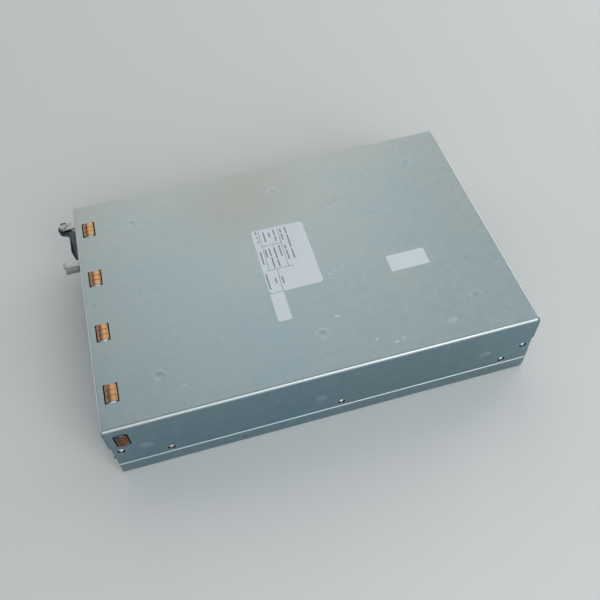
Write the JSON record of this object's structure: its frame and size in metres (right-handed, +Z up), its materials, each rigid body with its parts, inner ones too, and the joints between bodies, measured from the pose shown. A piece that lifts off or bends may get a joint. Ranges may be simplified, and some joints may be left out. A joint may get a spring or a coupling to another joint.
{
  "type": "server power supply",
  "caption": "Flat folded-steel server power supply with copper earthing clips, an ejector lever, cooling fans and a mains inlet at one end and a blade output at the other.",
  "frame": {"origin": "centre of the case's bottom face", "axes": "+X from the lever and inlet end to the output end, +Z up from the base, +Y towards the lever's pivot"},
  "size_m": [0.43, 0.2676, 0.0848],
  "materials": {
    "approval_film": "satin film",
    "blade_metal": "plated",
    "blank_film": "satin film",
    "board_laminate": "lacquered laminate",
    "box_capacitor": "moulded",
    "bracket_steel": "plated",
    "bus_copper": "bare bar",
    "can_sleeve": "sleeved",
    "clip_copper": "bare spring copper",
    "connector_plastic": "moulded, matt",
    "device_epoxy": "moulded",
    "fan_lead_sleeve": "extruded",
    "fan_plastic": "moulded, matt",
    "ferrite": "sintered",
    "film": "film",
    "fuse_ceramic": "fired",
    "guard_wire": "plated wire",
    "guide_steel": "turned",
    "inlet_plastic": "moulded, matt",
    "lamp_lens": "clear green",
    "lead_sleeve": "extruded",
    "lever_steel": "dark polished plate",
    "pin_metal": "plated",
    "post_steel": "plated",
    "rail_zinc": "galvanised, satin",
    "rating_film": "satin film",
    "rotor_plastic": "moulded",
    "screw_zinc": "zinc plated",
    "shell_zinc": "galvanised, satin",
    "sink_metal": "extruded",
    "terminal_plastic": "moulded",
    "tray_zinc": "galvanised, satin",
    "winding_tape": "taped",
    "wound_copper": "enamelled wire"
  },
  "bodies": {
    "case": {"ac_inlet": "inlet_plastic", "approval_label": "approval_film", "base_tray": "tray_zinc", "blank_label": "blank_film", "board_screws": "screw_zinc", "board_standoffs": "post_steel", "bulk_capacitor_1": "can_sleeve", "bulk_capacitor_2": "can_sleeve", "bulk_capacitor_3": "can_sleeve", "case_shell": "shell_zinc", "clinch_nuts": "screw_zinc", "contact_clip_side_1": "clip_copper", "contact_clip_side_2": "clip_copper", "contact_clip_top_1": "clip_copper", "contact_clip_top_2": "clip_copper", "contact_clip_top_3": "clip_copper", "contact_clip_top_4": "clip_copper", "contact_rails": "rail_zinc", "control_board": "board_laminate", "end_screws": "screw_zinc", "fan_frame_1": "fan_plastic", "fan_frame_2": "fan_plastic", "fan_guard_1": "guard_wire", "fan_guard_2": "guard_wire", "fan_leads": "fan_lead_sleeve", "fan_screws": "screw_zinc", "filter_capacitors": "box_capacitor", "filter_choke_1": "wound_copper", "filter_choke_2": "wound_copper", "guide_pins": "guide_steel", "inlet_leads": "lead_sleeve", "inlet_pins": "pin_metal", "insulator_sheet": "film", "lever_bracket": "bracket_steel", "lever_keeper": "bracket_steel", "lever_pin": "bracket_steel", "line_fuse": "fuse_ceramic", "main_board": "board_laminate", "output_blades": "blade_metal", "output_busbars": "bus_copper", "output_capacitors": "can_sleeve", "output_choke_1": "wound_copper", "output_choke_2": "wound_copper", "output_connector": "connector_plastic", "pfc_choke": "wound_copper", "primary_heatsink": "sink_metal", "primary_transistors": "device_epoxy", "rating_label": "rating_film", "rectifier_bridge": "device_epoxy", "secondary_heatsink": "sink_metal", "secondary_rectifiers": "device_epoxy", "side_screws": "screw_zinc", "status_lamps": "lamp_lens", "terminal_block": "terminal_plastic", "transformer_core": "ferrite", "transformer_winding": "winding_tape"},
    "lever": {"ejector_lever": "lever_steel"},
    "fan_1": {"fan_rotor_1": "rotor_plastic"},
    "fan_2": {"fan_rotor_2": "rotor_plastic"}
  },
  "joints": [
    {"name": "lever_swing", "type": "hinge", "parent": "case", "child": "lever", "pos_m": [-0.2125, 0.1215, 0.0643], "axis": [0, 0, -1], "range_deg": [0, 90]},
    {"name": "fan_1_spin", "type": "hinge", "parent": "case", "child": "fan_1", "pos_m": [-0.1885, -0.017, 0.0415], "axis": [1, 0, 0], "continuous": true},
    {"name": "fan_2_spin", "type": "hinge", "parent": "case", "child": "fan_2", "pos_m": [-0.1885, 0.036, 0.0415], "axis": [1, 0, 0], "continuous": true}
  ]
}
